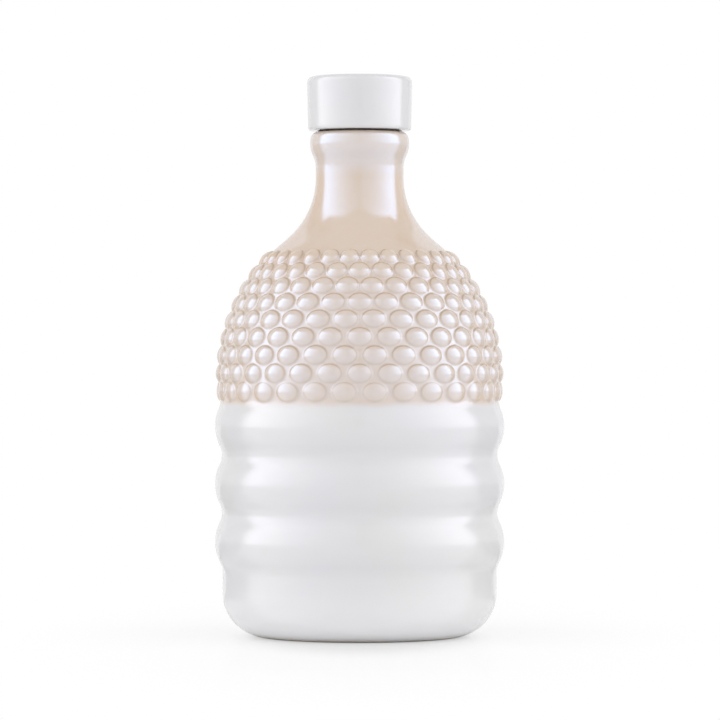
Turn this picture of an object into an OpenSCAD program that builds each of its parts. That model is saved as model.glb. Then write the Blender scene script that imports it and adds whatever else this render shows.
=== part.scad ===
// A lustre-glazed ceramic bottle: ribbed lower body, hobnail shoulder, rolled lip and a lift-out stopper.
// Millimetres, +Z up, with the origin on the table at the centre of the foot.

/* [Body] */
// Thickness of the fired ceramic wall
wall = 5.2; // [4:0.1:6]
// Radius of the body at the crown of a rib, its widest place
rib_crown_r = 51.4; // [44:0.1:60]
// How far the plain band above the foot lies inside the ribs' crowns
band_step = 2.7; // [1.5:0.1:3.5]
// Height of the plain band, from the foot's corner to the lowest rib
band_h = 7.3; // [3:0.1:14]
// Radius of the round corner between the plain band and the foot
foot_corner_r = 15.6; // [12:0.1:20]
// Width of the flat ring that the bottle stands on
foot_ring_w = 4.2; // [2:0.1:8]
// Depth of the recess inside the foot ring
foot_recess = 1.4; // [0.5:0.1:2]

/* [Ribs] */
// Number of ribs round the lower body
rib_count = 3; // [1:1:5]
// Depth of the groove between two ribs
rib_depth = 2.4; // [1:0.05:3]
// Radius of a rib's round face, seen in section
rib_face_r = 15.6; // [12:0.1:20]
// Radius of the hollow between two ribs, seen in section
rib_fillet_r = 7.5; // [4:0.1:12]

/* [Shoulder] */
// How far the straight band under the shoulder lies inside the ribs' crowns, without its hobnails
shoulder_step = 1.9; // [1:0.1:2.5]
// Height of that straight band
shoulder_band_h = 7.1; // [6:0.1:12]
// Radius of the shoulder's curve, seen in section
dome_r = 64.9; // [60:0.1:72]
// Radius of the curve from the shoulder into the neck, seen in section
neck_fillet_r = 28.4; // [20:0.1:36]

/* [Hobnails] */
// Rows of hobnails, counted up the shoulder
bead_rows = 9; // [1:1:9]
// Hobnails in each row
beads_per_row = 30; // [12:1:32]
// Distance between rows, along the curve of the shoulder
bead_row_pitch = 6.35; // [5:0.05:6.6]
// Height of the lowest row under the start of the shoulder's curve
bead_drop = 3.85; // [1:0.05:4]
// Widest diameter of a hobnail
bead_d = 7.4; // [4:0.1:8]
// Height of the widest hobnail
bead_h = 1.8; // [1:0.05:2.4]
// Share of the space between neighbours that a hobnail may fill
bead_fill_share = 0.9; // [0.6:0.01:0.96]

/* [Neck and lip] */
// Radius of the bore through the neck
bore_r = 10.4; // [9.5:0.1:11]
// Height of the straight stretch of the neck
neck_straight_h = 3.3; // [2:0.1:12]
// Radius of the lip at its crown
lip_r = 17.6; // [17:0.1:19]
// Radius of the lip's round face, seen in section
lip_face_r = 10; // [7:0.1:14]
// Radius of the hollow under the lip, seen in section
lip_fillet_r = 10; // [4:0.1:12]
// Height from the lip's crown to its flat top
lip_top_h = 4.1; // [3:0.1:5]
// Radius of the lip's top corner
lip_corner_r = 2.5; // [1:0.1:2.8]
// Radius of the round edge at the mouth of the bore
mouth_round_r = 1.4; // [0.5:0.1:1.6]

/* [Cap] */
// Height of the ceramic cap
cap_h = 19.1; // [16:0.1:30]
// Radius of the cap at its top
cap_top_r = 18.65; // [17.5:0.05:20]
// Radius of the cap at its underside
cap_foot_r = 18.3; // [17.5:0.05:20]
// Radius of the cap's top corner
cap_top_round_r = 2.1; // [1:0.1:3.5]
// Radius of the cap's bottom corner
cap_foot_round_r = 1.1; // [0.5:0.1:1.6]
// Thickness of the cap's roof over its socket
cap_roof = 4.6; // [3:0.1:6]
// Radius of the socket in the cap's underside
cap_socket_r = 14.8; // [13.8:0.1:15.2]
// Thickness of the adhesive between the socket and the core
adhesive_t = 0.35; // [0.2:0.05:0.6]
// Height of the adhesive ring
adhesive_h = 7; // [4:0.1:8]

/* [Stopper core] */
// Height of the core's head, inside the cap's socket
head_h = 9; // [8.5:0.1:11]
// Thickness of the moulded walls of the head
head_wall = 2.2; // [1.5:0.1:3]
// Number of stiffening ribs in the head
head_rib_count = 6; // [3:1:8]
// Thickness of a stiffening rib
head_rib_t = 1.6; // [1:0.1:2.5]
// Length of the shank under the washer
shank_l = 20; // [18:0.1:30]
// Space between the shank and the bore
shank_gap = 0.8; // [0.5:0.05:1.2]
// Radius of the blind hollow inside the shank
shank_hollow_r = 5.6; // [4:0.1:6]
// Thickness of the shank's closed end
shank_end_t = 2.2; // [1.5:0.1:4]
// Bevel round the shank's lower end
shank_bevel = 1; // [0.4:0.1:1.6]

/* [Seals] */
// Number of sealing rings on the shank
seal_count = 3; // [3:1:3]
// Diameter of a sealing ring's round section
seal_d = 2.4; // [1.8:0.1:2.6]
// Distance between sealing rings
seal_pitch = 4.6; // [3.6:0.1:5]
// Depth of the highest sealing ring under the lip's top
seal_top_depth = 4.2; // [3.4:0.1:5]
// Running clearance of a fitted ring, to the bore and to its groove
seal_clearance = 0.05; // [0.02:0.01:0.1]
// Side clearance of a ring in its groove
groove_clearance = 0.15; // [0.1:0.05:0.3]
// Thickness of the washer between the cap and the lip
washer_t = 0.5; // [0.4:0.1:1.5]
// Outer radius of the washer
washer_r = 14.1; // [13.2:0.1:14.4]
// Space between the washer and the shank
washer_gap = 0.2; // [0.1:0.05:0.4]

/* [Hidden] */
$fn = 96;

// Longest chord that an outline's round stretch is drawn with
outline_step = 2;
// Run-out of every cut past the face that it opens
overrun = 1;
// Depth to which a hobnail's flat back lies under the shoulder's face
bead_seat = 0.35;
// Facets round a hobnail when it is drawn as a mesh
bead_fn = 32;
// Slices of balls that the shoulder's curve is built from
shoulder_slices = 6;
// Length by which neighbouring stretches of the body run into each other
lap = 0.5;

glaze_rose = "#ead6c8";
glaze_white = "#e9e8ea";
core_white = "#f2f1ec";
silicone_grey = "#c9c8c4";
washer_brown = "#4a3f3a";
adhesive_amber = "#d8cfae";

// The body's outline is a stack of arcs that meet in line, from the foot to the lip.
neck_r = bore_r + wall;
band_r = rib_crown_r - band_step;
shoulder_r = rib_crown_r - shoulder_step;
corner_c = [band_r - foot_corner_r, foot_corner_r];
band_top_z = foot_corner_r + band_h;

rib_c_r = rib_crown_r - rib_face_r;
rib_reach = rib_face_r + rib_fillet_r;
groove_c_r = rib_crown_r - rib_depth + rib_fillet_r;
rib_half_pitch = sqrt(rib_reach ^ 2 - (groove_c_r - rib_c_r) ^ 2);
band_fillet_c = [band_r + rib_fillet_r, band_top_z];
first_rib_z = band_top_z + sqrt(rib_reach ^ 2 - (band_fillet_c.x - rib_c_r) ^ 2);
last_rib_z = first_rib_z + 2 * rib_half_pitch * (rib_count - 1);
shoulder_fillet_rise = sqrt(rib_reach ^ 2 - (shoulder_r + rib_fillet_r - rib_c_r) ^ 2);
shoulder_fillet_c = [shoulder_r + rib_fillet_r, last_rib_z + shoulder_fillet_rise];

band_fillet_a = asin((first_rib_z - band_top_z) / rib_reach);
groove_a = asin(rib_half_pitch / rib_reach);
shoulder_fillet_a = asin(shoulder_fillet_rise / rib_reach);

dome_c = [shoulder_r - dome_r, shoulder_fillet_c.y + shoulder_band_h];
dome_a = acos((neck_r + neck_fillet_r - dome_c.x) / (dome_r + neck_fillet_r));
neck_c = [neck_r + neck_fillet_r, dome_c.y + (dome_r + neck_fillet_r) * sin(dome_a)];

lip_fillet_c = [neck_r + lip_fillet_r, neck_c.y + neck_straight_h];
lip_reach = lip_face_r + lip_fillet_r;
lip_a = acos((lip_fillet_c.x - lip_r + lip_face_r) / lip_reach);
lip_c = [lip_r - lip_face_r, lip_fillet_c.y + lip_reach * sin(lip_a)];
bottle_h = lip_c.y + lip_top_h;
lip_corner_a = asin((lip_top_h - lip_corner_r) / (lip_face_r - lip_corner_r));
lip_corner_c = [lip_c.x + (lip_face_r - lip_corner_r) * cos(lip_corner_a), bottle_h - lip_corner_r];

// The stopper is measured from the lip's flat top.
cap_z = bottle_h + washer_t;
head_r = cap_socket_r - adhesive_t;
shank_r = bore_r - shank_gap;
shank_foot_z = bottle_h - shank_l;
seal_out_r = bore_r - seal_clearance;
seal_c_r = seal_out_r - seal_d / 2;
groove_floor_r = seal_out_r - seal_d - seal_clearance;
groove_w = seal_d + 2 * groove_clearance;

// Points along an arc, in chords no longer than outline_step
function arc(c, r, from, to) =
    let (n = max(2, ceil(abs(to - from) * PI * r / 180 / outline_step)))
    [for (i = [0:n]) let (a = from + (to - from) * i / n) c + r * [cos(a), sin(a)]];

// Height of the centre of a rib, or of the groove above it at a half count
function rib_z(i) = first_rib_z + 2 * rib_half_pitch * i;

// The outline from the foot to the neck, moved inwards by inset, with the shoulder's curve left out
function shell_outline(inset) =
    let (neck_arc = arc(neck_c, neck_fillet_r + inset, 180 + dome_a, 180))
    let (start_dir = (neck_arc[0] - neck_arc[1]) / norm(neck_arc[0] - neck_arc[1]))
    concat(
        arc(corner_c, foot_corner_r - inset, -90, 0),
        arc(band_fillet_c, rib_fillet_r + inset, 180, 180 - band_fillet_a),
        [for (i = [0:rib_count - 1]) each rib_outline(i, inset)],
        arc(shoulder_fillet_c, rib_fillet_r + inset, 180 + shoulder_fillet_a, 180),
        [[shoulder_r - inset, dome_c.y + lap], neck_arc[0] + lap * start_dir],
        [for (i = [1:len(neck_arc) - 1]) neck_arc[i]]
    );

// One rib's face, and the groove above it if another rib follows
function rib_outline(i, inset) =
    let (low_a = i == 0 ? band_fillet_a : groove_a)
    let (last = i == rib_count - 1)
    let (high_a = last ? shoulder_fillet_a : groove_a)
    concat(
        arc([rib_c_r, rib_z(i)], rib_face_r - inset, -low_a, high_a),
        last ? [] : arc([groove_c_r, rib_z(i + 0.5)], rib_fillet_r + inset, 180 + groove_a, 180 - groove_a)
    );

// The rolled lip, from the top of the neck to the flat on top
function lip_outline() = concat(
    arc(lip_fillet_c, lip_fillet_r, 180, 180 - lip_a),
    arc(lip_c, lip_face_r, -lip_a, lip_corner_a),
    arc(lip_corner_c, lip_corner_r, lip_corner_a, 90)
);

// The round edge where the bore opens
function mouth_outline() =
    arc([bore_r + mouth_round_r, bottle_h - mouth_round_r], mouth_round_r, 180, 90);

// How far along the shoulder's curve a row lies, from where the curve starts
function bead_s(row) = row * bead_row_pitch - bead_drop;
function bead_tilt(row) = max(0, bead_s(row)) * 180 / PI / dome_r;
function bead_place(row) =
    dome_c + dome_r * [cos(bead_tilt(row)), sin(bead_tilt(row))] + [0, min(0, bead_s(row))];

// A hobnail is as wide as its neighbours in its own row and the next leave room for
function bead_width(row) =
    let (side = 2 * PI * bead_place(row).x / beads_per_row)
    min(bead_d, bead_fill_share * min(side, norm([side / 2, bead_row_pitch])));

// A slice off a ball, with its flat back under the shoulder's face
module hobnail(d) {
    h = bead_h * d / bead_d;
    ball_r = (d ^ 2 / 4 + h ^ 2) / (2 * h);
    translate([0, 0, h - ball_r])
        intersection() {
            sphere(ball_r, $fn = bead_fn);
            translate([0, 0, ball_r - h - bead_seat])
                cylinder(r = ball_r + overrun, h = h + bead_seat + overrun, $fn = bead_fn);
        }
}

module hobnail_row(row) {
    place = bead_place(row);
    step = 360 / beads_per_row;
    for (i = [0:beads_per_row - 1])
        rotate([0, 0, step * (i + (row % 2) / 2)])
            translate([place.x, 0, place.y])
                rotate([0, 90 - bead_tilt(row), 0])
                    hobnail(bead_width(row));
}

// A point on the shoulder's curve, moved inwards by inset
function dome_point(share, inset) =
    dome_c + (dome_r - inset) * [cos(dome_a * share), sin(dome_a * share)];

// The shoulder's curve, as balls on the bottle's axis that each pass through two points of it
module shoulder(inset) {
    foot_z = dome_c.y - lap;
    intersection() {
        union()
            for (i = [0:shoulder_slices - 1])
                ball_through(
                    dome_point(i / shoulder_slices, inset),
                    dome_point((i + 1) / shoulder_slices, inset)
                );
        translate([0, 0, foot_z])
            cylinder(r = shoulder_r + overrun, h = dome_point(1, inset).y + lap - foot_z);
    }
}

module ball_through(a, b) {
    z = (b * b - a * a) / (2 * (b.y - a.y));
    translate([0, 0, z]) sphere(norm(a - [0, z]));
}

module bottle_body() {
    color(glaze_rose) {
        difference() {
            union() {
                rotate_extrude()
                    polygon(concat([[0, 0]], shell_outline(0), lip_outline(), [[0, bottle_h]]));
                shoulder(0);
            }
            cavity();
            foot_hollow();
        }
        for (row = [0:bead_rows - 1]) hobnail_row(row);
    }
}

// The space for the liquid and the bore that it pours through
module cavity() {
    top_r = bore_r + mouth_round_r;
    rotate_extrude()
        polygon(concat(
            [[0, wall]],
            shell_outline(wall),
            mouth_outline(),
            [[top_r, bottle_h + overrun], [0, bottle_h + overrun]]
        ));
    shoulder(wall);
}

module foot_hollow() {
    translate([0, 0, -overrun])
        cylinder(r = corner_c.x - foot_ring_w, h = foot_recess + overrun);
}

// The cap's outer shape: a low drum with a slight taper and round corners
module cap_blank() {
    rotate_extrude()
        polygon(concat(
            [[0, 0]],
            arc([cap_foot_r - cap_foot_round_r, cap_foot_round_r], cap_foot_round_r, -90, 0),
            arc([cap_top_r - cap_top_round_r, cap_h - cap_top_round_r], cap_top_round_r, 0, 90),
            [[0, cap_h]]
        ));
}

module cap_shell() {
    color(glaze_white)
        translate([0, 0, cap_z])
            difference() {
                cap_blank();
                translate([0, 0, -overrun]) cylinder(r = cap_socket_r, h = cap_h - cap_roof + overrun);
            }
}

// The glue ring that holds the core in the cap's socket
module cap_adhesive() {
    color(adhesive_amber)
        translate([0, 0, cap_z + head_h - adhesive_h])
            difference() {
                cylinder(r = cap_socket_r, h = adhesive_h);
                translate([0, 0, -overrun]) cylinder(r = head_r, h = adhesive_h + 2 * overrun);
            }
}

// The moulded core: a ribbed head that is glued into the cap, and a hollow shank with ring grooves
module stopper_core() {
    color(core_white)
        difference() {
            union() {
                translate([0, 0, cap_z]) cylinder(r = head_r, h = head_h);
                translate([0, 0, shank_foot_z]) shank();
            }
            translate([0, 0, cap_z]) head_pockets();
            translate([0, 0, shank_foot_z + shank_end_t])
                cylinder(r = shank_hollow_r, h = cap_z + head_h - shank_foot_z);
            for (i = [0:seal_count - 1]) seal_groove(i);
        }
}

module shank() {
    cylinder(r1 = shank_r - shank_bevel, r2 = shank_r, h = shank_bevel);
    translate([0, 0, shank_bevel]) cylinder(r = shank_r, h = cap_z - shank_foot_z - shank_bevel + head_wall);
}

// The hollow between the head's rim and its boss, crossed by the stiffening ribs
module head_pockets() {
    boss_r = shank_hollow_r + head_wall;
    translate([0, 0, head_wall])
        difference() {
            cylinder(r = head_r - head_wall, h = head_h);
            translate([0, 0, -overrun]) cylinder(r = boss_r, h = head_h + 2 * overrun);
            for (i = [0:head_rib_count - 1])
                rotate([0, 0, 360 / head_rib_count * i])
                    translate([0, -head_rib_t / 2, -overrun])
                        cube([head_r, head_rib_t, head_h + 2 * overrun]);
        }
}

// Height of the middle of a sealing ring, counted down from the highest
function seal_z(i) = bottle_h - seal_top_depth - seal_pitch * i;

module seal_groove(i) {
    translate([0, 0, seal_z(i) - groove_w / 2])
        difference() {
            cylinder(r = shank_r + overrun, h = groove_w);
            translate([0, 0, -overrun]) cylinder(r = groove_floor_r, h = groove_w + 2 * overrun);
        }
}

module seal_ring(i) {
    color(silicone_grey)
        translate([0, 0, seal_z(i)])
            rotate_extrude()
                translate([seal_c_r, 0]) circle(d = seal_d);
}

module lip_washer() {
    color(washer_brown)
        translate([0, 0, bottle_h])
            difference() {
                cylinder(r = washer_r, h = washer_t);
                translate([0, 0, -overrun]) cylinder(r = shank_r + washer_gap, h = washer_t + 2 * overrun);
            }
}

bottle_body();
cap_shell();
stopper_core();
cap_adhesive();
seal_ring(0);  // seal_ring_upper
seal_ring(1);  // seal_ring_middle
seal_ring(2);  // seal_ring_lower
lip_washer();
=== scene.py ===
"""A pearl-glazed ceramic bottle with a lift-out stopper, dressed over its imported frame."""

import math

import bpy
import numpy as np
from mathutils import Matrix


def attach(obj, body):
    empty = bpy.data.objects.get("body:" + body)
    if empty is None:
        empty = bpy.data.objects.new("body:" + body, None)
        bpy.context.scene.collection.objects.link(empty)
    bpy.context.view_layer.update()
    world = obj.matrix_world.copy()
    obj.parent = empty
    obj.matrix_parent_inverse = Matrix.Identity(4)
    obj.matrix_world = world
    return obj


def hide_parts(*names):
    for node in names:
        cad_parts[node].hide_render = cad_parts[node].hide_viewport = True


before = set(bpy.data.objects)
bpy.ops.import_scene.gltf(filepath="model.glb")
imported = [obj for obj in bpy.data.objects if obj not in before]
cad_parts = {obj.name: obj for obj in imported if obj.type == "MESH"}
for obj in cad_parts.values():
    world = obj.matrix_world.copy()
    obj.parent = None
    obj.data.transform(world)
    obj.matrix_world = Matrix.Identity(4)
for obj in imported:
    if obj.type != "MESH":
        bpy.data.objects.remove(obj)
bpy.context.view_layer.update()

MM = 0.001

# Sizes of the solids that the dressed pieces stand for, in millimetres
WALL = 5.2
BAND_R = 48.7
BAND_H = 7.3
FOOT_CORNER_R = 15.6
FOOT_RING_W = 4.2
FOOT_RECESS = 1.4
RIB_COUNT = 3
RIB_CROWN_R = 51.4
RIB_DEPTH = 2.4
RIB_FACE_R = 15.6
RIB_FILLET_R = 7.5
SHOULDER_R = 49.5
SHOULDER_BAND_H = 7.1
DOME_R = 64.9
NECK_FILLET_R = 28.4
BEAD_ROWS = 9
BEADS_PER_ROW = 30
BEAD_ROW_PITCH = 6.35
BEAD_DROP = 3.85
BEAD_H = 1.8
BORE_R = 10.4
NECK_STRAIGHT_H = 3.3
LIP_R = 17.6
LIP_FACE_R = 10.0
LIP_FILLET_R = 10.0
LIP_TOP_H = 4.1
LIP_CORNER_R = 2.5
MOUTH_ROUND_R = 1.4
WASHER_T = 0.5
CAP_H = 19.1
CAP_TOP_R = 18.65
CAP_FOOT_R = 18.3
CAP_TOP_ROUND_R = 2.1
CAP_ROOF = 4.6
CAP_SOCKET_R = 14.8

# The same chain of arcs as the solids', from the foot to the lip
NECK_R = BORE_R + WALL
CORNER_C = (BAND_R - FOOT_CORNER_R, FOOT_CORNER_R)
BAND_TOP_Z = FOOT_CORNER_R + BAND_H
RIB_C_R = RIB_CROWN_R - RIB_FACE_R
RIB_REACH = RIB_FACE_R + RIB_FILLET_R
GROOVE_C_R = RIB_CROWN_R - RIB_DEPTH + RIB_FILLET_R
RIB_HALF_PITCH = math.sqrt(RIB_REACH**2 - (GROOVE_C_R - RIB_C_R) ** 2)
BAND_FILLET_C = (BAND_R + RIB_FILLET_R, BAND_TOP_Z)
BAND_FILLET_RISE = math.sqrt(RIB_REACH**2 - (BAND_FILLET_C[0] - RIB_C_R) ** 2)
FIRST_RIB_Z = BAND_TOP_Z + BAND_FILLET_RISE
LAST_RIB_Z = FIRST_RIB_Z + 2 * RIB_HALF_PITCH * (RIB_COUNT - 1)
SHOULDER_FILLET_RISE = math.sqrt(RIB_REACH**2 - (SHOULDER_R + RIB_FILLET_R - RIB_C_R) ** 2)
SHOULDER_FILLET_C = (SHOULDER_R + RIB_FILLET_R, LAST_RIB_Z + SHOULDER_FILLET_RISE)
BAND_FILLET_A = math.degrees(math.asin(BAND_FILLET_RISE / RIB_REACH))
GROOVE_A = math.degrees(math.asin(RIB_HALF_PITCH / RIB_REACH))
SHOULDER_FILLET_A = math.degrees(math.asin(SHOULDER_FILLET_RISE / RIB_REACH))
DOME_C = (SHOULDER_R - DOME_R, SHOULDER_FILLET_C[1] + SHOULDER_BAND_H)
DOME_REACH = DOME_R + NECK_FILLET_R
DOME_A = math.degrees(math.acos((NECK_R + NECK_FILLET_R - DOME_C[0]) / DOME_REACH))
NECK_FOOT_Z = DOME_C[1] + DOME_R * math.sin(math.radians(DOME_A))
NECK_C = (NECK_R + NECK_FILLET_R, DOME_C[1] + DOME_REACH * math.sin(math.radians(DOME_A)))
LIP_FILLET_C = (NECK_R + LIP_FILLET_R, NECK_C[1] + NECK_STRAIGHT_H)
LIP_REACH = LIP_FACE_R + LIP_FILLET_R
LIP_A = math.degrees(math.acos((LIP_FILLET_C[0] - LIP_R + LIP_FACE_R) / LIP_REACH))
LIP_C = (LIP_R - LIP_FACE_R, LIP_FILLET_C[1] + LIP_REACH * math.sin(math.radians(LIP_A)))
BOTTLE_H = LIP_C[1] + LIP_TOP_H
LIP_CORNER_A = math.degrees(math.asin((LIP_TOP_H - LIP_CORNER_R) / (LIP_FACE_R - LIP_CORNER_R)))
LIP_CORNER_REACH = (LIP_FACE_R - LIP_CORNER_R) * math.cos(math.radians(LIP_CORNER_A))
LIP_CORNER_C = (LIP_C[0] + LIP_CORNER_REACH, BOTTLE_H - LIP_CORNER_R)
CAP_Z = BOTTLE_H + WASHER_T

# One hobnail, called a bead for short: its size, how domed it is, how its foot runs into the wall,
# and how flat the lowest row is; before any is raised, the lift is far below nought
BEAD_HALF_W = 4.25
BEAD_HALF_H = 3.3
BEAD_SIDE_SHARE = 0.45
BEAD_CUT = 0.9
BEAD_MELT = 1.0
BEAD_FOOT_FALL = 1.5
TIP_H = BEAD_H - 0.02
LOWEST_SHARE = 0.75
NO_LIFT = -9.0

# The wall rises between the hobnails, and comes back to the solids' wall below and above them
WALL_RISE = 0.42
RISE_GAP = 0.2
RISE_FOOT_H = 7.0
RISE_TOP_H = 12.0

# Small differences between the hobnails: in size as a share, and in place as millimetres
CHANCE_SEED = 7
SMALLER_BY = 0.02
SHIFT_ACROSS = 0.1
SHIFT_UP = 0.08

# Painted shade round the edge of a hobnail, where it meets the wall, as shares of the way out to that
# edge, and how strongly
RIM_AT = 0.97
RIM_WIDTH = 0.07
RIM_AT_BOTTOM = 0.25
FIRST_ROW_RIM = 0.6
ROW_RIM_STEP = 0.2

# Roundings that only the dressed pieces have, in millimetres
CAP_FOOT_ROUND_R = 0.7
CAP_MOUTH_ROUND_R = 0.5
FOOT_RING_ROUND_R = 0.6
NECK_FOOT_REACH = 6.0

# How finely each part is meshed: columns round it, and steps along its outline in millimetres
BEAD_COLUMNS = 900
PLAIN_COLUMNS = 300
INSIDE_COLUMNS = 100
BEAD_STEP = 0.33
WALL_STEP = 0.9
LIP_STEP = 0.45
INSIDE_STEP = 2.5
INSIDE_DOME_STEP = 3.0
FLAT_STEP = 3.0
FOOT_RING_STEP = 1.2
FOOT_ROUND_STEP = 0.25
CAP_ROUND_STEP = 0.3
CAP_SIDE_STEP = 1.0
CAP_TOP_STEP = 2.0
FIELD_BELOW = 1.2
FIELD_ABOVE = 0.3
RADIUS_TRIM = 0.9994

# The photograph's frame and the camera that took it
IMAGE_SIDE = 720
MM_PER_PIXEL = 0.355
FLOOR_PIXEL_Y = 636.5
AXIS_PIXEL_X = 359.6
CAMERA_DISTANCE = 1.4786
SENSOR = 36.0

# Where the blush glaze ends, in metres: its middle, how much it wanders, and half its width
GLAZE_EDGE_Z = 0.0829
GLAZE_EDGE_WANDER = 0.0022
GLAZE_EDGE_SOFT = 0.0014

# Where the glaze changes with height, in metres, from the start to the end of each change
BARE_CHANGE = (0.0004, 0.0011)
# The painted bounce light on the foot fades out from the floor up over this height
FOOT_BOUNCE_CHANGE = (0.0, 0.024)
THIN_CHANGE = (0.0825, 0.0865)
BAND_CHANGE = (0.0835, 0.0875)
BEADED_CHANGE = (0.112, 0.14)
LIP_CHANGE = (0.162, 0.169)
THIN_SHARE = 0.85
BAND_SHARE = 0.7

# How far a hobnail's relief counts as its tip, and how strongly the painted shade round its edge shows
TIP_CHANGE = (0.45, 0.9)
RIM_SHADE_SHARE = 0.9

# Colours of the glaze's body
WHITE_LEVEL = 0.68
CAP_WHITE_LEVEL = 0.675
COOL_SHIFT = (0.0, -0.004, 0.012)
WARM_SHIFT = (0.01, 0.0, -0.005)
# Painted light: a lighter white towards the foot, standing for the floor's bounce
FOOT_BOUNCE_WHITE = (0.80, 0.80, 0.80, 1)
BLUSH_LIGHT = (0.82, 0.605, 0.38, 1)
BLUSH_DEEP = (0.79, 0.54, 0.295, 1)
BLUSH_BEADED = (0.80, 0.61, 0.43, 1)
BLUSH_TIPS = (0.80, 0.62, 0.46, 1)
BLUSH_BAND = (0.81, 0.585, 0.36, 1)
BLUSH_LIP = (0.83, 0.66, 0.49, 1)
# Painted shade round the hobnails' edges
BLUSH_RIM_SHADE = (0.36, 0.23, 0.12, 1)
CLAY_DARK = (0.78, 0.70, 0.60, 1)
CLAY_LIGHT = (0.88, 0.80, 0.71, 1)
INSIDE_GLAZE = (0.76, 0.72, 0.66, 1)

# Colours of the pearl that lies over it
WHITE_PEARL = (0.175, 0.175, 0.205, 1)
PEARL_PLAIN = (0.175, 0.315, 0.55, 1)
PEARL_BEADED = (0.20, 0.33, 0.53, 1)
PEARL_TIPS = (0.24, 0.38, 0.59, 1)
# Greyer pearl round the hobnails' edges, part of their painted shade
PEARL_RIM_SHADE = (0.16, 0.16, 0.17, 1)
PEARL_CLAY = (0.02, 0.02, 0.02, 1)
PEARL_INSIDE = (0.08, 0.08, 0.08, 1)

# How the glaze takes light: the pearl's strong reflection lies under a clear coat
PEARL_IOR = 3.0
COAT_IOR = 1.5
COAT_ROUGHNESS = 0.05
WHITE_ROUGHNESS = (0.18, 0.26)
BLUSH_ROUGHNESS = (0.11, 0.17)
CLAY_ROUGHNESS = 0.75

# Patterns in the glaze: how many to the metre, how stretched, and between which shares they show.
# The first two names are a noise's detail, and its detail and roughness.
MANY_LAYERS = 3.0
FEW_LAYERS = (1.0, 0.4)
DRIFT_SCALE = 22.0
DRIFT_CHANGE = (0.35, 0.65)
RUNS_SCALE = 60.0
RUNS_STRETCH = (1.0, 1.0, 0.3)
RUNS_CHANGE = (0.42, 0.68)
WANDER_SCALE = 75.0
WANDER_STRETCH = (1.0, 1.0, 0.0)
POLISH_SCALE = 90.0
POLISH_CHANGE = (0.3, 0.7)
CLAY_SCALE = 1400.0

# Unevenness of the coat: patterns to the metre, their depth in metres, and strength
SWELL_SCALE = 38.0
SWELL_DEPTH = 0.0006
SWELL_STRENGTH = 0.3
TURNED_SCALE = 520.0
TURNED_STRETCH = (0.02, 0.02, 1.0)
TURNED_DEPTH = 0.00003
PEEL_SCALE = 420.0
PEEL_DEPTH = 0.00001
FINE_STRENGTH = 0.5

# Small parts, by material: two close tones, roughness, grains to the metre, their depth, clearness
SMALL_PART_LOOKS = {
    "core_plastic": ((0.80, 0.79, 0.75, 1), (0.76, 0.75, 0.71, 1), 0.42, 1500.0, 0.00002, 0.0),
    "seal_silicone": ((0.58, 0.57, 0.54, 1), (0.52, 0.51, 0.49, 1), 0.42, 2000.0, 0.00002, 0.3),
    "washer_rubber": ((0.055, 0.045, 0.04, 1), (0.08, 0.065, 0.055, 1), 0.6, 2400.0, 0.00003, 0.0),
    "adhesive": ((0.70, 0.60, 0.40, 1), (0.66, 0.55, 0.36, 1), 0.25, 900.0, 0.00003, 0.5),
}
SMALL_PARTS = {
    "core_plastic": ["stopper_core"],
    "seal_silicone": ["seal_ring_upper", "seal_ring_middle", "seal_ring_lower"],
    "washer_rubber": ["lip_washer"],
    "adhesive": ["cap_adhesive"],
}
SMALL_PART_IOR = 1.45
TONE_SCALE = 120.0
SATIN_SCALE = 260.0
SATIN_UNEVENNESS = 0.06
GRAIN_STRENGTH = 0.6

# The floor: its paint, its gloss, and how much of it is lifted to white, with distances in metres
FLOOR_PAINT = (0.98, 0.98, 0.98, 1)
FLOOR_SHADED = (0.60, 0.60, 0.60, 1)
FLOOR_BEHIND = (0.5, 0.5, 0.5, 1)
FLOOR_GLOSS = (0.95, 0.95, 0.95, 1)
FLOOR_ROUGHNESS = 0.22
FLOOR_GLOSS_SHARE = 0.25
FLOOR_WHITE_SHARE = 0.5
FLOOR_WHITE_CHANGE = (0.05, 0.34)
FLOOR_SHADED_CHANGE = (0.05, 0.12)
FLOOR_BEHIND_CHANGE = (0.08, 0.2)
FLOOR_NARROWING = (2.5, 1.0, 1.0)
FLOOR_REACH = 8.0

# Levels of light in the surround
SURROUND_LEVEL = 1.73
PANEL_FRONT = 0.52
PANEL_PEAK = 1.55
PANEL_LOW = 0.97
PANEL_POWER = 2.2
SEAM_LEVEL = 0.75
DARK = 0.46
DARK_HIGH = 0.38
OVERHEAD = 0.41
BACKDROP = 0.55

# Directions in the surround, in degrees: first azimuths from straight ahead, then heights. The
# panels would reach their peak a little further round than where their level is held.
PANEL_HELD_FROM = 88.0
PANEL_PEAK_AT = 100.0
SEAM_EDGE = (0.0, 5.0)
PANEL_EDGE = (98.0, 112.0)
FLOOR_BEHIND_EDGE = (98.0, 108.0)
BACKDROP_EDGE = (141.0, 147.0)
PANEL_BOTTOM = (-5.0, 14.0)
PANEL_TOP = (44.0, 51.0)
PANEL_TOP_RISE = 10.0
DARK_FADE = (12.0, 36.0)
BACKDROP_TOP = (42.0, 48.0)
OVERHEAD_EDGE = (56.0, 66.0)


def ease(t):
    """From nought to one without a corner at either end."""
    t = np.clip(t, 0.0, 1.0)
    return t * t * (3 - 2 * t)


def smooth_max(a, b, reach):
    """The larger of two heights, filleted where they meet."""
    near = np.clip(reach - np.abs(a - b), 0.0, None)
    return np.maximum(a, b) + near**2 / (4 * reach)


def arc(centre, radius, start, end, step, hollow=False):
    """Rows of radius, height and outward normal along an arc, its angles in degrees."""
    count = max(3, math.ceil(abs(math.radians(end - start)) * radius / step))
    a = np.radians(np.linspace(start, end, count + 1))
    side = -1.0 if hollow else 1.0
    return np.stack(
        [
            centre[0] + radius * np.cos(a),
            centre[1] + radius * np.sin(a),
            side * np.cos(a),
            side * np.sin(a),
        ],
        axis=1,
    )


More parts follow.
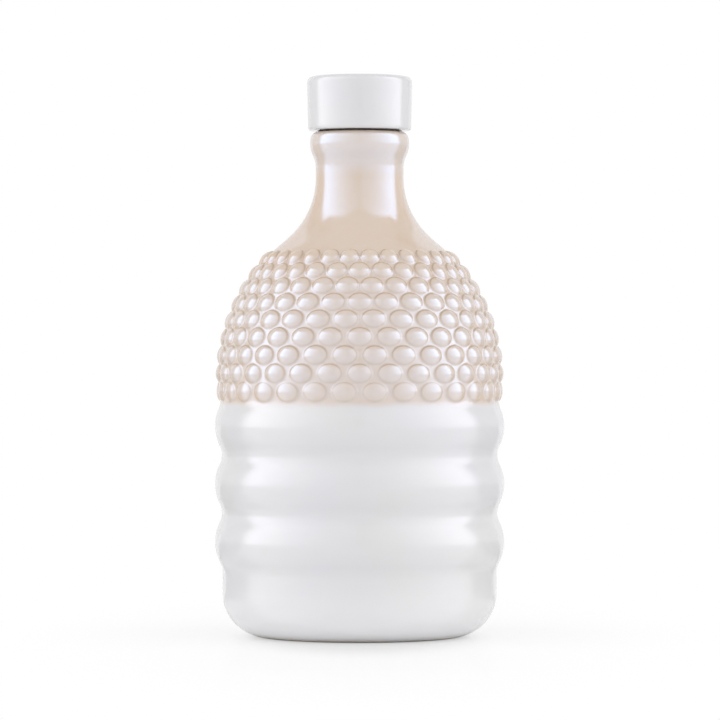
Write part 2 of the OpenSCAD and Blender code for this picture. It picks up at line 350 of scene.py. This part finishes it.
def line(start, end, normal, step):
    """Rows along a straight stretch, without its two ends."""
    length = math.dist(start, end)
    count = max(1, math.ceil(length / step))
    t = np.linspace(0.0, 1.0, count + 1)[1:-1, None]
    points = np.array(start)[None] * (1 - t) + np.array(end)[None] * t
    return np.concatenate([points, np.tile(normal, (len(points), 1))], axis=1)


def shell_rows(inset, step, dome_step):
    """The wall's outline from the foot's corner to the top of the neck, moved inwards by inset."""
    face_r = RIB_FACE_R - inset
    hollow_r = RIB_FILLET_R + inset
    band_r = BAND_R - inset
    shoulder_r = SHOULDER_R - inset
    rows = [
        arc(CORNER_C, FOOT_CORNER_R - inset, -90, 0, step),
        line((band_r, FOOT_CORNER_R), (band_r, BAND_TOP_Z), (1, 0), step),
        arc(BAND_FILLET_C, hollow_r, 180, 180 - BAND_FILLET_A, step, True),
    ]
    for i in range(RIB_COUNT):
        z = FIRST_RIB_Z + 2 * RIB_HALF_PITCH * i
        last = i == RIB_COUNT - 1
        low = -BAND_FILLET_A if i == 0 else -GROOVE_A
        high = SHOULDER_FILLET_A if last else GROOVE_A
        rows.append(arc((RIB_C_R, z), face_r, low, high, step)[1:])
        if not last:
            groove_c = (GROOVE_C_R, z + RIB_HALF_PITCH)
            rows.append(arc(groove_c, hollow_r, 180 + GROOVE_A, 180 - GROOVE_A, step, True)[1:])
    start_a = 180 + SHOULDER_FILLET_A
    rows += [
        arc(SHOULDER_FILLET_C, hollow_r, start_a, 180, dome_step, True)[1:],
        line((shoulder_r, SHOULDER_FILLET_C[1]), (shoulder_r, DOME_C[1]), (1, 0), dome_step),
        arc(DOME_C, DOME_R - inset, 0, DOME_A, dome_step),
        arc(NECK_C, NECK_FILLET_R + inset, 180 + DOME_A, 180, step, True)[1:],
    ]
    return np.concatenate(rows)


def soften_neck_foot(rows):
    """The outline with the bend at the neck's foot spread over a short stretch."""
    steps = np.hypot(*np.diff(rows[:, :2], axis=0).T)
    along = np.concatenate([[0.0], np.cumsum(steps)])
    along -= along[np.argmin(np.abs(rows[:, 1] - NECK_FOOT_Z))]
    t = along / NECK_FOOT_REACH
    # A gradual bend, eased back to the outline at both ends, less the sharp one that is there
    spread = (t + 1) ** 3 / 12 - ease((t + 1) / 2) / 6 - np.maximum(t, 0.0) ** 2 / 2
    spread[np.abs(t) > 1] = 0.0
    bend = 1 / DOME_R + 1 / NECK_FILLET_R
    out = rows.copy()
    out[:, :2] += rows[:, 2:] * (bend * NECK_FOOT_REACH**2 * spread)[:, None]
    return out


def lip_rows():
    """The rolled lip, from the top of the neck to the mouth's inner edge."""
    mouth_c = (BORE_R + MOUTH_ROUND_R, BOTTLE_H - MOUTH_ROUND_R)
    rows = [
        arc(LIP_FILLET_C, LIP_FILLET_R, 180, 180 - LIP_A, LIP_STEP, True),
        arc(LIP_C, LIP_FACE_R, -LIP_A, LIP_CORNER_A, LIP_STEP)[1:],
        arc(LIP_CORNER_C, LIP_CORNER_R, LIP_CORNER_A, 90, LIP_STEP)[1:],
        line((LIP_CORNER_C[0], BOTTLE_H), (mouth_c[0], BOTTLE_H), (0, 1), LIP_STEP),
        arc(mouth_c, MOUTH_ROUND_R, 90, 180, LIP_STEP),
    ]
    return np.concatenate(rows)


def foot_rows():
    """The underside: a shallow recess inside a ring with rounded edges."""
    edge = FOOT_RING_ROUND_R
    ring_in = CORNER_C[0] - FOOT_RING_W
    rows = [
        line((0, FOOT_RECESS), (ring_in - edge, FOOT_RECESS), (0, -1), FLAT_STEP),
        arc((ring_in - edge, FOOT_RECESS - edge), edge, 90, 0, FOOT_ROUND_STEP, True),
        arc((ring_in + edge, edge), edge, 180, 270, FOOT_ROUND_STEP),
        line((ring_in + edge, 0), (CORNER_C[0], 0), (0, -1), FOOT_RING_STEP),
    ]
    return np.concatenate(rows)


def cap_rows():
    """The cap's outline, from the middle of its socket round its foot to the middle of its top."""
    edge = CAP_MOUTH_ROUND_R
    foot_c = (CAP_FOOT_R - CAP_FOOT_ROUND_R, CAP_FOOT_ROUND_R)
    top_c = (CAP_TOP_R - CAP_TOP_ROUND_R, CAP_H - CAP_TOP_ROUND_R)
    socket_z = CAP_H - CAP_ROOF
    rows = [
        line((0, socket_z), (CAP_SOCKET_R - edge, socket_z), (0, -1), FLAT_STEP),
        arc((CAP_SOCKET_R - edge, socket_z - edge), edge, 90, 0, CAP_ROUND_STEP, True),
        line((CAP_SOCKET_R, socket_z - edge), (CAP_SOCKET_R, edge), (-1, 0), CAP_TOP_STEP),
        arc((CAP_SOCKET_R + edge, edge), edge, 180, 270, CAP_ROUND_STEP),
        arc(foot_c, CAP_FOOT_ROUND_R, -90, 0, CAP_ROUND_STEP),
        line((CAP_FOOT_R, CAP_FOOT_ROUND_R), (CAP_TOP_R, top_c[1]), (1, 0), CAP_SIDE_STEP),
        arc(top_c, CAP_TOP_ROUND_R, 0, 90, CAP_ROUND_STEP),
        line((top_c[0], CAP_H), (0, CAP_H), (0, 1), CAP_TOP_STEP),
    ]
    return np.concatenate(rows)


def hobnails(rows, angles):
    """How far the hobnails lift each point of the wall along its normal, and how much painted shade it
    gets near their edges.
    """
    r = rows[:, 0][:, None]
    z = rows[:, 1][:, None]
    lift = np.full((len(rows), len(angles)), NO_LIFT)
    rim = np.zeros_like(lift)
    step = 2 * math.pi / BEADS_PER_ROW
    brim = math.sqrt(1 - BEAD_CUT**2)
    chance = np.random.default_rng(CHANCE_SEED)
    for row in range(BEAD_ROWS):
        # Where the row sits on the wall, and how large its hobnails are
        along = row * BEAD_ROW_PITCH - BEAD_DROP
        tilt = max(0.0, along) / DOME_R
        seat_r = DOME_C[0] + DOME_R * math.cos(tilt)
        seat_z = DOME_C[1] + DOME_R * math.sin(tilt) + min(0.0, along)
        room = 2 * math.pi * seat_r / BEADS_PER_ROW
        half_w = min(BEAD_HALF_W, BEAD_SIDE_SHARE * room)
        tall = LOWEST_SHARE if row == 0 else min(1.0, 0.5 + 0.5 * half_w / BEAD_HALF_H)

        # Which hobnail each column belongs to, and that one's own small differences
        offset = (row % 2) / 2 * step
        index = np.round((angles - offset) / step)
        turn = (angles - offset - index * step)[None]
        which = index.astype(int) % BEADS_PER_ROW
        size = 1 + chance.uniform(-SMALLER_BY, 0.0, BEADS_PER_ROW)[which][None]
        shift_across = chance.uniform(-SHIFT_ACROSS, SHIFT_ACROSS, BEADS_PER_ROW)[which][None]
        shift_up = chance.uniform(-SHIFT_UP, SHIFT_UP, BEADS_PER_ROW)[which][None]

        # How far out each point lies in it, from 0 at the tip to 1 at the rim
        out = r * np.cos(turn) - seat_r
        across = r * np.sin(turn) - shift_across
        up = (z - seat_z) * math.cos(tilt) - out * math.sin(tilt) - shift_up
        share = np.hypot(across / half_w, up / BEAD_HALF_H) / size
        dome = (np.sqrt(np.clip(1 - (share * BEAD_CUT) ** 2, 0.0, None)) - brim) / (1 - brim)
        high = (TIP_H * tall - WALL_RISE) * dome + WALL_RISE
        high = high - BEAD_FOOT_FALL * np.clip(share - 1, 0.0, None)
        lift = smooth_max(lift, high, BEAD_MELT)

        # Painted shade round each hobnail, strongest on its upper side and weaker on the lowest rows
        rim_shade_weight = RIM_AT_BOTTOM + (1 - RIM_AT_BOTTOM) * ease(0.5 + 0.5 * up / BEAD_HALF_H)
        rim_shade_weight = rim_shade_weight * min(1.0, FIRST_ROW_RIM + ROW_RIM_STEP * row)
        rim = np.maximum(rim, rim_shade_weight * np.exp(-(((share - RIM_AT) / RIM_WIDTH) ** 2)))
    raised_below = ease((z - SHOULDER_FILLET_C[1] - RISE_GAP) / RISE_FOOT_H)
    raised_above = ease((NECK_FOOT_Z - z) / RISE_TOP_H)
    lift = smooth_max(lift, WALL_RISE * raised_below * raised_above, BEAD_MELT)
    return np.minimum(lift, TIP_H), rim


class Skin:
    """A closed round shell, gathered ring by ring; a ring may have a whole number of times more points."""

    def __init__(self, name):
        self.name = name
        self.points = []
        self.faces = []
        self.values = {"relief": [], "rim": [], "inner": []}
        self.total = 0
        self.columns = 0

    def add(self, rows, columns, lift=None, rim=None, inner=0.0):
        """One ring of points for each row, lifted along its normal."""
        angles = np.linspace(0, 2 * math.pi, columns, endpoint=False)
        nought = 0 * angles
        for k, (r, z, nr, nz) in enumerate(rows):
            rise = nought if lift is None else lift[k]
            radius = r + nr * rise
            ring = [radius * np.cos(angles), radius * np.sin(angles), z + nz * rise]
            self.points.append(np.stack(ring, axis=1))
            self.values["relief"].append(rise / BEAD_H)
            self.values["rim"].append(nought if rim is None else rim[k])
            self.values["inner"].append(nought + inner)
            if self.columns:
                self.join(self.columns, columns)
            self.columns = columns
            self.total += columns

    def join(self, below, above):
        """Faces between the last ring and the one that is being added."""
        low = self.total - below
        high = self.total
        j = np.arange(min(below, above))
        k = (j + 1) % len(j)
        if below == above:
            self.faces += np.stack([low + j, low + k, high + k, high + j], axis=1).tolist()
            return
        few, many = (low, high) if below < above else (high, low)
        most = max(below, above)
        ratio = most // len(j)
        for i in j:
            start = few + i
            end = few + (i + 1) % len(j)
            chain = [many + (i * ratio + m) % most for m in range(ratio + 1)]
            face = [start, end, *chain[::-1]] if below < above else [*chain, end, start]
            self.faces.append(face)

    def close(self, z, columns, last):
        """A fan of faces from a point on the axis to the last ring or to the first."""
        ring = (self.total - columns if last else 0) + np.arange(columns)
        others = np.roll(ring, -1)
        pairs = zip(ring, others) if last else zip(others, ring)
        self.faces += [[self.total, int(a), int(b)] for a, b in pairs]
        self.points.append(np.array([[0.0, 0.0, z]]))
        for kept in self.values.values():
            kept.append(np.zeros(1))
        self.total += 1

    def build(self, material):
        """The finished object, in metres, with its values as attributes of its points."""
        mesh = bpy.data.meshes.new(self.name)
        mesh.from_pydata((np.concatenate(self.points) * MM).tolist(), [], self.faces)
        mesh.polygons.foreach_set("use_smooth", [True] * len(mesh.polygons))
        for key, kept in self.values.items():
            attribute = mesh.attributes.new(key, "FLOAT", "POINT")
            attribute.data.foreach_set("value", np.concatenate(kept))
        mesh.materials.append(material)
        piece = bpy.data.objects.new(self.name, mesh)
        bpy.context.scene.collection.objects.link(piece)
        return piece


def make_body(material):
    """The fired body as one closed shell: outside, lip, bore and the hollow inside."""
    shell = soften_neck_foot(shell_rows(0.0, WALL_STEP, BEAD_STEP)) * (RADIUS_TRIM, 1, 1, 1)
    above_ribs = shell[:, 1] > SHOULDER_FILLET_C[1] - FIELD_BELOW
    below_neck = shell[:, 1] < NECK_FOOT_Z + FIELD_ABOVE
    first, last = np.flatnonzero(above_ribs & below_neck)[[0, -1]]
    field = shell[first : last + 1]
    angles = np.linspace(0, 2 * math.pi, BEAD_COLUMNS, endpoint=False)
    lift, rim = hobnails(field, angles)
    inside = shell_rows(WALL, INSIDE_STEP, INSIDE_DOME_STEP)[::-1] * (1, 1, -1, -1)
    skin = Skin("glazed_body")
    skin.add(np.concatenate([foot_rows(), shell[:first]]), PLAIN_COLUMNS)
    skin.add(field, BEAD_COLUMNS, lift, rim)
    skin.add(np.concatenate([shell[last + 1 :], lip_rows()[1:]]), PLAIN_COLUMNS)
    skin.add(inside, INSIDE_COLUMNS, inner=1.0)
    skin.close(inside[-1, 1], INSIDE_COLUMNS, True)
    skin.close(FOOT_RECESS, PLAIN_COLUMNS, False)
    body = skin.build(material)
    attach(body, "bottle")
    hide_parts("bottle_body")


def make_cap(material):
    """The glazed cap over its plastic core, with the socket that takes the core's head."""
    rows = cap_rows()
    rows[:, 1] += CAP_Z
    skin = Skin("glazed_cap")
    skin.add(rows, PLAIN_COLUMNS)
    skin.close(CAP_Z + CAP_H, PLAIN_COLUMNS, True)
    skin.close(CAP_Z + CAP_H - CAP_ROOF, PLAIN_COLUMNS, False)
    cap = skin.build(material)
    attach(cap, "stopper")
    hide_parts("cap_shell")


class Nodes:
    """A short way to write the nodes of a material or a world."""

    def __init__(self, owner):
        owner.use_nodes = True
        self.owner = owner
        self.tree = owner.node_tree
        self.tree.nodes.clear()

    def put(self, socket, value):
        """Link the socket to a node's output, or set its own value."""
        if isinstance(value, bpy.types.NodeSocket):
            self.tree.links.new(value, socket)
        else:
            socket.default_value = value

    def add(self, kind, inputs=None, **settings):
        """A node with its settings, and with its inputs linked or set."""
        node = self.tree.nodes.new(kind)
        for key, value in settings.items():
            setattr(node, key, value)
        for key, value in (inputs or {}).items():
            self.put(node.inputs[key], value)
        return node

    def maths(self, operation, a, b=0.0, c=0.0):
        node = self.add("ShaderNodeMath", {0: a, 1: b, 2: c}, operation=operation)
        return node.outputs[0]

    def ramp(self, value, low, high, to_low=0.0, to_high=1.0):
        """Eased from to_low to to_high as the value goes from low to high."""
        inputs = {"Value": value, "From Min": low, "From Max": high, "To Min": to_low, "To Max": to_high}
        node = self.add("ShaderNodeMapRange", inputs, interpolation_type="SMOOTHSTEP")
        return node.outputs["Result"]

    def blend(self, share, a, b):
        """A number between a and b."""
        inputs = {"Value": share, "To Min": a, "To Max": b}
        return self.add("ShaderNodeMapRange", inputs).outputs["Result"]

    def mix(self, share, a, b):
        """A colour between a and b."""
        node = self.add("ShaderNodeMix", data_type="RGBA")
        for place, value in ((0, share), (6, a), (7, b)):
            self.put(node.inputs[place], value)
        return node.outputs[2]

    def noise(self, vector, scale, detail=2.0, roughness=0.5):
        inputs = {"Vector": vector, "Scale": scale, "Detail": detail, "Roughness": roughness}
        return self.add("ShaderNodeTexNoise", inputs).outputs["Fac"]

    def stretched(self, vector, scale):
        return self.add("ShaderNodeMapping", {"Vector": vector, "Scale": scale}).outputs["Vector"]

    def length(self, vector):
        return self.add("ShaderNodeVectorMath", {0: vector}, operation="LENGTH").outputs["Value"]

    def split(self, vector):
        return self.add("ShaderNodeSeparateXYZ", {"Vector": vector}).outputs

    def azimuth(self, parts):
        """Degrees from straight ahead of the bottle, towards the camera, the same on both sides."""
        beside = self.maths("ABSOLUTE", parts["X"])
        ahead = self.maths("MULTIPLY", parts["Y"], -1.0)
        return self.maths("DEGREES", self.maths("ARCTAN2", beside, ahead))

    def place(self):
        """Where a point is in its own object, in metres."""
        return self.add("ShaderNodeTexCoord").outputs["Object"]

    def attribute(self, name):
        return self.add("ShaderNodeAttribute", attribute_name=name).outputs["Fac"]

    def bump(self, height, distance, strength, normal=None):
        inputs = {"Height": height, "Distance": distance, "Strength": strength}
        if normal is not None:
            inputs["Normal"] = normal
        return self.add("ShaderNodeBump", inputs).outputs["Normal"]

    def finish(self, shader):
        self.add("ShaderNodeOutputMaterial", {"Surface": shader})
        return self.owner


def glaze_surface(n, place, colour, rough, tint):
    """The pearl glaze: a soft pearl layer under a clear gloss coat that isn't quite level."""
    swell = n.noise(place, SWELL_SCALE, *FEW_LAYERS)
    turned = n.noise(n.stretched(place, TURNED_STRETCH), TURNED_SCALE)
    peel = n.noise(place, PEEL_SCALE, *FEW_LAYERS)
    level = n.bump(swell, SWELL_DEPTH, SWELL_STRENGTH)
    level = n.bump(turned, TURNED_DEPTH, FINE_STRENGTH, level)
    level = n.bump(peel, PEEL_DEPTH, FINE_STRENGTH, level)
    inputs = {
        "Base Color": colour,
        "Roughness": rough,
        "IOR": PEARL_IOR,
        "Specular IOR Level": 1.0,
        "Specular Tint": tint,
        "Coat Weight": 1.0,
        "Coat Roughness": COAT_ROUGHNESS,
        "Coat IOR": COAT_IOR,
        "Normal": level,
        "Coat Normal": level,
    }
    return n.add("ShaderNodeBsdfPrincipled", inputs).outputs["BSDF"]


def white_tone(n, place, level):
    """White glaze that drifts a little between cool and warm."""
    cool = (*[level + shift for shift in COOL_SHIFT], 1)
    warm = (*[level + shift for shift in WARM_SHIFT], 1)
    drift = n.noise(place, DRIFT_SCALE, MANY_LAYERS)
    return n.mix(n.ramp(drift, *DRIFT_CHANGE), cool, warm)


def painted_foot_bounce(n, up, tone):
    """The white glaze made lighter towards the foot, as painted light standing for the floor's bounce into
    the shade there.
    """
    return n.mix(n.ramp(up, *FOOT_BOUNCE_CHANGE, 1.0, 0.0), tone, FOOT_BOUNCE_WHITE)


def blush_tone(n, place, up, relief, rim, beaded):
    """Blush glaze: it gathers between the hobnails and thins on their tips, with painted shade round their
    rims.
    """
    runs = n.noise(n.stretched(place, RUNS_STRETCH), RUNS_SCALE, MANY_LAYERS)
    tone = n.mix(n.ramp(runs, *RUNS_CHANGE), BLUSH_LIGHT, BLUSH_DEEP)
    tone = n.mix(beaded, tone, BLUSH_BEADED)
    tips = n.maths("MULTIPLY", beaded, n.ramp(relief, *TIP_CHANGE))
    tone = n.mix(tips, tone, BLUSH_TIPS)
    tone = n.mix(n.ramp(up, *BAND_CHANGE, BAND_SHARE, 0.0), tone, BLUSH_BAND)
    tone = n.mix(n.ramp(up, *LIP_CHANGE), tone, BLUSH_LIP)
    # Painted shade round the hobnails' edges
    return n.mix(n.maths("MULTIPLY", rim, RIM_SHADE_SHARE), tone, BLUSH_RIM_SHADE)


def blush_pearl(n, relief, rim, beaded):
    """The pearl's own colour over the blush: lightest on the tips, and nearly grey on the rims, where it
    deepens their painted shade.
    """
    tint = n.mix(beaded, PEARL_PLAIN, PEARL_BEADED)
    tint = n.mix(n.ramp(relief, *TIP_CHANGE), tint, PEARL_TIPS)
    # Greyer pearl round the hobnails' edges deepens their painted shade
    return n.mix(n.maths("MULTIPLY", rim, RIM_SHADE_SHARE), tint, PEARL_RIM_SHADE)


def bottle_glaze():
    """White glaze below, blush glaze above, plain glaze inside, and bare clay where the foot was wiped."""
    n = Nodes(bpy.data.materials.new("bottle_glaze"))
    place = n.place()
    up = n.split(place)["Z"]
    relief = n.attribute("relief")
    rim = n.attribute("rim")
    inner = n.attribute("inner")

    # The edge between the glazes wanders round the bottle, and the blush is thinner just above it
    wander = n.noise(n.stretched(place, WANDER_STRETCH), WANDER_SCALE, MANY_LAYERS)
    edge = n.maths("MULTIPLY_ADD", n.maths("SUBTRACT", wander, 0.5), GLAZE_EDGE_WANDER, up)
    covered = n.ramp(edge, GLAZE_EDGE_Z - GLAZE_EDGE_SOFT, GLAZE_EDGE_Z + GLAZE_EDGE_SOFT)
    blush = n.maths("MULTIPLY", covered, n.ramp(up, *THIN_CHANGE, THIN_SHARE, 1.0))
    beaded = n.ramp(up, *BEADED_CHANGE, 1.0, 0.0)
    # The white glaze, with painted bounce light towards the foot
    white = painted_foot_bounce(n, up, white_tone(n, place, WHITE_LEVEL))
    colour = n.mix(blush, white, blush_tone(n, place, up, relief, rim, beaded))
    tint = n.mix(blush, WHITE_PEARL, blush_pearl(n, relief, rim, beaded))

    # Bare clay on the foot ring, with a fine grain
    bare = n.ramp(edge, *BARE_CHANGE, 1.0, 0.0)
    clay = n.mix(n.noise(place, CLAY_SCALE), CLAY_DARK, CLAY_LIGHT)
    colour = n.mix(bare, colour, clay)
    tint = n.mix(bare, tint, PEARL_CLAY)

    # Plain glaze inside
    colour = n.mix(inner, colour, INSIDE_GLAZE)
    tint = n.mix(inner, tint, PEARL_INSIDE)

    uneven = n.ramp(n.noise(place, POLISH_SCALE), *POLISH_CHANGE)
    rough = n.blend(blush, n.blend(uneven, *WHITE_ROUGHNESS), n.blend(uneven, *BLUSH_ROUGHNESS))
    rough = n.blend(bare, rough, CLAY_ROUGHNESS)
    return n.finish(glaze_surface(n, place, colour, rough, tint))


def cap_glaze():
    """The same white glaze as the lower half's."""
    n = Nodes(bpy.data.materials.new("cap_glaze"))
    place = n.place()
    rough = n.ramp(n.noise(place, POLISH_SCALE), *POLISH_CHANGE, *WHITE_ROUGHNESS)
    return n.finish(glaze_surface(n, place, white_tone(n, place, CAP_WHITE_LEVEL), rough, WHITE_PEARL))


def moulded(name, tone, other, rough, grain, depth, clear):
    """A moulded or cast small part: two close tones, uneven polish and a fine grain."""
    n = Nodes(bpy.data.materials.new(name))
    place = n.place()
    blotches = n.ramp(n.noise(place, TONE_SCALE, MANY_LAYERS), *POLISH_CHANGE)
    smoothest = rough - SATIN_UNEVENNESS
    roughest = rough + SATIN_UNEVENNESS
    inputs = {
        "Base Color": n.mix(blotches, tone, other),
        "Roughness": n.ramp(n.noise(place, SATIN_SCALE), *POLISH_CHANGE, smoothest, roughest),
        "Normal": n.bump(n.noise(place, grain), depth, GRAIN_STRENGTH),
        "Transmission Weight": clear,
        "IOR": SMALL_PART_IOR,
    }
    return n.finish(n.add("ShaderNodeBsdfPrincipled", inputs).outputs["BSDF"])


def dress_small_parts():
    """Better materials for the nodes that keep their own solids."""
    for name, looks in SMALL_PART_LOOKS.items():
        material = moulded(name, *looks)
        for node in SMALL_PARTS[name]:
            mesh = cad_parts[node].data
            mesh.materials.clear()
            mesh.materials.append(material)


def floor_paint():
    """Matt white paint with a little gloss, lifted to white only where it is seen directly."""
    n = Nodes(bpy.data.materials.new("floor_paint"))
    rays = n.add("ShaderNodeLightPath").outputs
    place = n.place()
    away = n.length(place)
    ahead = n.length(n.stretched(place, FLOOR_NARROWING))

    # The camera sees a deeper shade near the foot
    near_foot = n.ramp(ahead, *FLOOR_SHADED_CHANGE, 1.0, 0.0)
    tone = n.mix(n.maths("MULTIPLY", rays["Is Camera Ray"], near_foot), FLOOR_PAINT, FLOOR_SHADED)

    # Only the glaze sees a greyer stretch behind each side
    azimuth = n.azimuth(n.split(place))
    past_panel = n.ramp(azimuth, *FLOOR_BEHIND_EDGE)
    before_backdrop = n.ramp(azimuth, *BACKDROP_EDGE, 1.0, 0.0)
    behind = n.maths("MULTIPLY", past_panel, before_backdrop)
    behind = n.maths("MULTIPLY", behind, n.ramp(away, *FLOOR_BEHIND_CHANGE))
    behind = n.maths("MULTIPLY", behind, n.maths("SUBTRACT", 1.0, rays["Is Camera Ray"]))
    tone = n.mix(behind, tone, FLOOR_BEHIND)

    paint = n.add("ShaderNodeBsdfDiffuse", {"Color": tone}).outputs["BSDF"]
    gloss_inputs = {"Color": FLOOR_GLOSS, "Roughness": FLOOR_ROUGHNESS}
    gloss = n.add("ShaderNodeBsdfGlossy", gloss_inputs).outputs["BSDF"]
    shade = n.add("ShaderNodeMixShader", {0: FLOOR_GLOSS_SHARE, 1: paint, 2: gloss}).outputs[0]
    white = n.add("ShaderNodeEmission", {"Strength": 1.0}).outputs["Emission"]
    seen = n.maths("MAXIMUM", rays["Is Camera Ray"], rays["Is Transmission Ray"])
    lifted = n.maths("MULTIPLY", seen, n.ramp(ahead, *FLOOR_WHITE_CHANGE, FLOOR_WHITE_SHARE, 1.0))
    return n.finish(n.add("ShaderNodeMixShader", {0: lifted, 1: shade, 2: white}).outputs[0])


def make_floor():
    """A plain white floor, far larger than what the camera sees."""
    mesh = bpy.data.meshes.new("floor")
    far = FLOOR_REACH
    corners = [(-far, -far, 0), (far, -far, 0), (far, far, 0), (-far, far, 0)]
    mesh.from_pydata(corners, [], [(0, 1, 2, 3)])
    mesh.materials.append(floor_paint())
    floor = bpy.data.objects.new("floor", mesh)
    bpy.context.scene.collection.objects.link(floor)


def make_surround():
    """Two tall diffusing panels, one each side, dim in front and bright abeam, in a pale surround."""
    world = bpy.data.worlds.new("surround")
    bpy.context.scene.world = world
    n = Nodes(world)
    parts = n.split(n.add("ShaderNodeTexCoord").outputs["Generated"])
    azimuth = n.azimuth(parts)
    height = n.maths("DEGREES", n.maths("ARCSINE", parts["Z"]))

    # The panels brighten towards the sides, are a little dimmer low down, and part in front
    held = n.maths("MINIMUM", azimuth, PANEL_HELD_FROM)
    half = n.maths("RADIANS", n.maths("MULTIPLY", held, 0.5))
    steep = n.maths("POWER", n.maths("SINE", half), PANEL_POWER)
    steepest = math.sin(math.radians(PANEL_PEAK_AT / 2)) ** PANEL_POWER
    slope = (PANEL_PEAK - PANEL_FRONT) / steepest
    panel = n.maths("MULTIPLY_ADD", steep, slope, PANEL_FRONT)
    panel = n.maths("MULTIPLY", panel, n.ramp(height, *PANEL_BOTTOM, PANEL_LOW, 1.0))
    panel = n.maths("MULTIPLY", panel, n.ramp(azimuth, *SEAM_EDGE, SEAM_LEVEL, 1.0))

    # Their top edge is lowest in front and abeam, and highest halfway between
    double = n.maths("MULTIPLY", n.maths("MINIMUM", azimuth, 90.0), 2.0)
    between = n.maths("SINE", n.maths("RADIANS", double))
    above = n.ramp(n.maths("MULTIPLY_ADD", between, -PANEL_TOP_RISE, height), *PANEL_TOP)
    panel = n.blend(above, panel, OVERHEAD)

    # Behind them is a darker gap, then the backdrop, and over it all the ceiling
    dark = n.ramp(height, *DARK_FADE, DARK, DARK_HIGH)
    behind = n.blend(n.ramp(azimuth, *BACKDROP_EDGE), dark, BACKDROP)
    behind = n.blend(n.ramp(height, *BACKDROP_TOP), behind, dark)
    behind = n.blend(n.ramp(height, *OVERHEAD_EDGE), behind, OVERHEAD)
    light = n.maths("MULTIPLY", n.blend(n.ramp(azimuth, *PANEL_EDGE), panel, behind), SURROUND_LEVEL)

    # The camera sees plain white instead
    camera_ray = n.add("ShaderNodeLightPath").outputs["Is Camera Ray"]
    strength = n.blend(camera_ray, light, 1.0)
    background = n.add("ShaderNodeBackground", {"Color": (1, 1, 1, 1), "Strength": strength}).outputs[0]
    n.add("ShaderNodeOutputWorld", {"Surface": background})


def make_camera():
    """A camera that looks along +Y at the photograph's distance and framing."""
    data = bpy.data.cameras.new("camera")
    data.sensor_width = SENSOR
    data.lens = SENSOR / (IMAGE_SIDE * MM_PER_PIXEL * MM) * CAMERA_DISTANCE
    camera = bpy.data.objects.new("camera", data)
    half = IMAGE_SIDE / 2
    x = (half - AXIS_PIXEL_X) * MM_PER_PIXEL * MM
    z = (FLOOR_PIXEL_Y - half) * MM_PER_PIXEL * MM
    camera.location = (x, -CAMERA_DISTANCE, z)
    camera.rotation_euler = (math.pi / 2, 0, 0)
    bpy.context.scene.collection.objects.link(camera)
    bpy.context.scene.camera = camera


bpy.context.scene.view_settings.view_transform = "Standard"
make_camera()
make_floor()
make_surround()
make_body(bottle_glaze())
make_cap(cap_glaze())
dress_small_parts()
